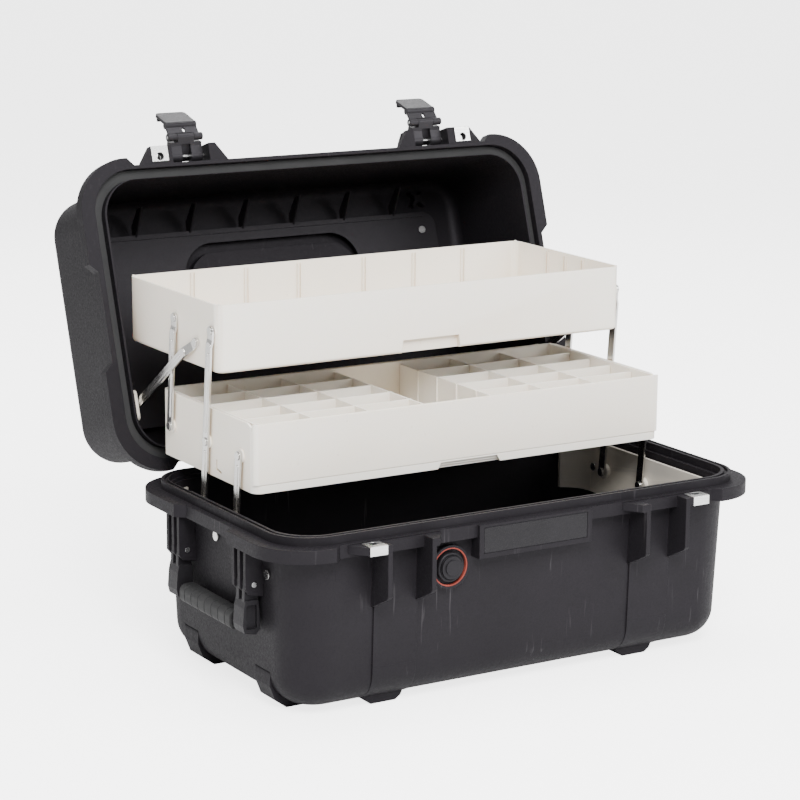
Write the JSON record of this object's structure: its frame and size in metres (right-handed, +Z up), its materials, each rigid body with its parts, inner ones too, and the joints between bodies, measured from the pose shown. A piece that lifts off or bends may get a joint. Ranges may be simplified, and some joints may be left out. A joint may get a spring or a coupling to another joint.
{
  "type": "hard tool case",
  "caption": "Hard plastic tool case with a hinged lid, cantilever trays on steel links, folding handles and lever latches.",
  "frame": {"origin": "on the floor plane under the middle of the base body", "axes": "+X to the right along the length, +Y to the back where the lid is hinged, +Z up"},
  "size_m": [0.526, 0.5412, 0.4874],
  "materials": {
    "shell": "fine grained black moulding",
    "trim": "smoother black moulding",
    "tray": "smooth ivory moulding",
    "bracket": "cream painted sheet",
    "stainless": "bright stainless",
    "pin": "turned steel",
    "seal": "soft black rubber",
    "red_seal": "red rubber ring"
  },
  "bodies": {
    "base": {"base_shell": "shell", "base_feet": "shell", "base_latch_guards": "shell", "base_handle_ribs": "shell", "base_hinge_knuckles": "shell", "front_plate": "trim", "base_padlock_clips": "stainless", "valve_ring": "red_seal", "valve_body": "trim", "valve_nut": "trim", "hinge_pins": "pin", "side_bracket_left": "bracket", "side_bracket_right": "bracket", "bracket_rivets_left": "stainless", "bracket_rivets_right": "stainless", "base_link_rivets_left": "stainless", "base_link_rivets_right": "stainless", "side_handle_pins_left": "pin", "side_handle_pins_right": "pin"},
    "lid": {"lid_shell": "shell", "lid_gasket": "seal", "lid_padlock_clips": "stainless", "lid_organizer": "trim", "lid_organizer_screws": "pin", "top_handle_pins": "pin", "lid_link_tab_left": "bracket", "lid_link_tab_right": "bracket", "latch_arm_pin_left": "pin", "latch_arm_pin_right": "pin"},
    "long_links": {"long_link_left": "stainless", "long_link_right": "stainless"},
    "front_links": {"front_link_left": "stainless", "front_link_right": "stainless"},
    "rear_links": {"rear_link_left": "stainless", "rear_link_right": "stainless"},
    "lid_links": {"lid_link_left": "stainless", "lid_link_right": "stainless", "lid_link_rivet_left": "stainless", "lid_link_rivet_right": "stainless"},
    "middle_tray": {"middle_tray_carrier": "tray", "middle_tray_insert": "tray", "divider_block_left": "tray", "divider_block_right": "tray", "middle_tray_rivets_left": "stainless", "middle_tray_rivets_right": "stainless"},
    "top_tray": {"top_tray": "tray", "top_tray_rivets_left": "stainless", "top_tray_rivets_right": "stainless"},
    "top_handle": {"top_handle_frame": "trim", "top_handle_grip": "seal"},
    "latch_arm_left": {"latch_arm_left": "trim", "latch_lever_pin_left": "pin"},
    "latch_lever_left": {"latch_lever_left": "trim"},
    "side_handle_left": {"side_handle_frame_left": "trim", "side_handle_grip_left": "seal"},
    "latch_arm_right": {"latch_arm_right": "trim", "latch_lever_pin_right": "pin"},
    "latch_lever_right": {"latch_lever_right": "trim"},
    "side_handle_right": {"side_handle_frame_right": "trim", "side_handle_grip_right": "seal"}
  },
  "joints": [
    {"name": "lid_hinge", "type": "hinge", "parent": "base", "child": "lid", "pos_m": [0, 0.158, 0.158], "axis": [1, 0, 0], "range_deg": [0, 108]},
    {"name": "long_link_pivot", "type": "hinge", "parent": "base", "child": "long_links", "pos_m": [0, 0.0665, 0.128], "axis": [1, 0, 0], "range_deg": [0, 41.65]},
    {"name": "front_link_pivot", "type": "hinge", "parent": "base", "child": "front_links", "pos_m": [0, 0.0025, 0.128], "axis": [1, 0, 0], "range_deg": [0, 41.65]},
    {"name": "middle_tray_pivot", "type": "hinge", "parent": "long_links", "child": "middle_tray", "pos_m": [0, 0.05898, 0.214], "axis": [1, 0, 0], "range_deg": [-41.65, 0]},
    {"name": "top_tray_pivot", "type": "hinge", "parent": "long_links", "child": "top_tray", "pos_m": [0, 0.04982, 0.3186], "axis": [1, 0, 0], "range_deg": [-41.65, 0]},
    {"name": "rear_link_pivot", "type": "hinge", "parent": "middle_tray", "child": "rear_links", "pos_m": [0, 0.13298, 0.214], "axis": [1, 0, 0], "range_deg": [0, 41.65]},
    {"name": "lid_link_pivot", "type": "hinge", "parent": "top_tray", "child": "lid_links", "pos_m": [0, 0.08, 0.303], "axis": [1, 0, 0], "range_deg": [0, 7.43]},
    {"name": "top_handle_pivot", "type": "hinge", "parent": "lid", "child": "top_handle", "pos_m": [0, 0.33222, 0.24439], "axis": [-1, 0, 0], "range_deg": [0, 90]},
    {"name": "latch_arm_left_pivot", "type": "hinge", "parent": "lid", "child": "latch_arm_left", "pos_m": [-0.1382, 0.27202, 0.44743], "axis": [1, 0, 0], "range_deg": [0, 64]},
    {"name": "latch_lever_left_pivot", "type": "hinge", "parent": "latch_arm_left", "child": "latch_lever_left", "pos_m": [-0.1382, 0.27235, 0.46666], "axis": [1, 0, 0], "range_deg": [0, 82]},
    {"name": "side_handle_left_pivot", "type": "hinge", "parent": "base", "child": "side_handle_left", "pos_m": [-0.2495, 0, 0.116], "axis": [0, 1, 0], "range_deg": [0, 90]},
    {"name": "latch_arm_right_pivot", "type": "hinge", "parent": "lid", "child": "latch_arm_right", "pos_m": [0.1382, 0.27202, 0.44743], "axis": [1, 0, 0], "range_deg": [0, 64]},
    {"name": "latch_lever_right_pivot", "type": "hinge", "parent": "latch_arm_right", "child": "latch_lever_right", "pos_m": [0.1382, 0.27235, 0.46666], "axis": [1, 0, 0], "range_deg": [0, 82]},
    {"name": "side_handle_right_pivot", "type": "hinge", "parent": "base", "child": "side_handle_right", "pos_m": [0.2495, 0, 0.116], "axis": [0, -1, 0], "range_deg": [0, 90]}
  ],
  "couplings": [
    {"joint": "long_link_pivot", "follows": "lid_hinge", "ratio": 0.38556},
    {"joint": "front_link_pivot", "follows": "lid_hinge", "ratio": 0.38556},
    {"joint": "middle_tray_pivot", "follows": "lid_hinge", "ratio": -0.38556},
    {"joint": "top_tray_pivot", "follows": "lid_hinge", "ratio": -0.38556},
    {"joint": "rear_link_pivot", "follows": "lid_hinge", "ratio": 0.38556},
    {"joint": "lid_link_pivot", "follows": "lid_hinge", "ratio": 0.06872}
  ]
}
